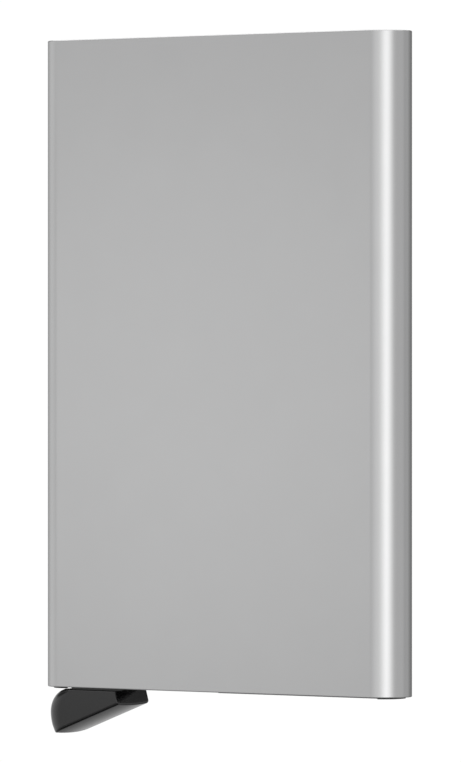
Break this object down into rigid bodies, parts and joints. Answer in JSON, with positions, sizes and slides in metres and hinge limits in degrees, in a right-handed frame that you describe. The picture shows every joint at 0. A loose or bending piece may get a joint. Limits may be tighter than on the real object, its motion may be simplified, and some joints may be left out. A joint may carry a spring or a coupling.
{
  "type": "pop-up card case",
  "caption": "Slim upright pocket card case: rounded aluminium tube, open at the top, with a black sprung lever under its lower left corner that pushes the cards up in a fan.",
  "frame": {"origin": "centre of the outline in plan, at the height of the lever's lowest point with the case upright", "axes": "+Z along the case's length towards its open top, +X across its width away from the lever, +Y through its thickness towards the back"},
  "size_m": [0.063, 0.008, 0.102],
  "materials": {
    "anodised_aluminium": "bead-blasted, clear anodised, satin",
    "black_plastic": "moulded, satin",
    "lever_plastic": "moulded, semi-gloss",
    "rail_plastic": "moulded",
    "acetal": "natural acetal",
    "steel": "drawn",
    "spring_steel": "stainless spring steel",
    "rubber": "matt",
    "woven_backing": "woven",
    "pile": "short dense pile"
  },
  "bodies": {
    "case": {"housing": "anodised_aluminium", "chassis_front": "black_plastic", "chassis_rear": "black_plastic", "chassis_pin_1": "steel", "chassis_pin_2": "steel", "chassis_pin_3": "steel", "chassis_pin_4": "steel", "pivot_pin": "steel", "thrust_washer_front": "acetal", "thrust_washer_rear": "acetal", "return_spring": "spring_steel", "lever_stop_pad": "rubber", "side_rail_left": "rail_plastic", "side_rail_right": "rail_plastic", "pile_backing_left": "woven_backing", "pile_backing_right": "woven_backing", "pile_left": "pile", "pile_right": "pile", "retaining_clip_left": "spring_steel", "retaining_clip_right": "spring_steel"},
    "lever_body": {"lever": "lever_plastic"}
  },
  "joints": [
    {"name": "lever_hinge", "type": "hinge", "parent": "case", "child": "lever_body", "pos_m": [-0.0135, 0, 0.0114], "axis": [0, -1, 0], "range_deg": [0, 35], "stiffness_Nm_per_rad": 0.002, "springref_deg": -85.94, "deforming": ["return_spring"]}
  ]
}
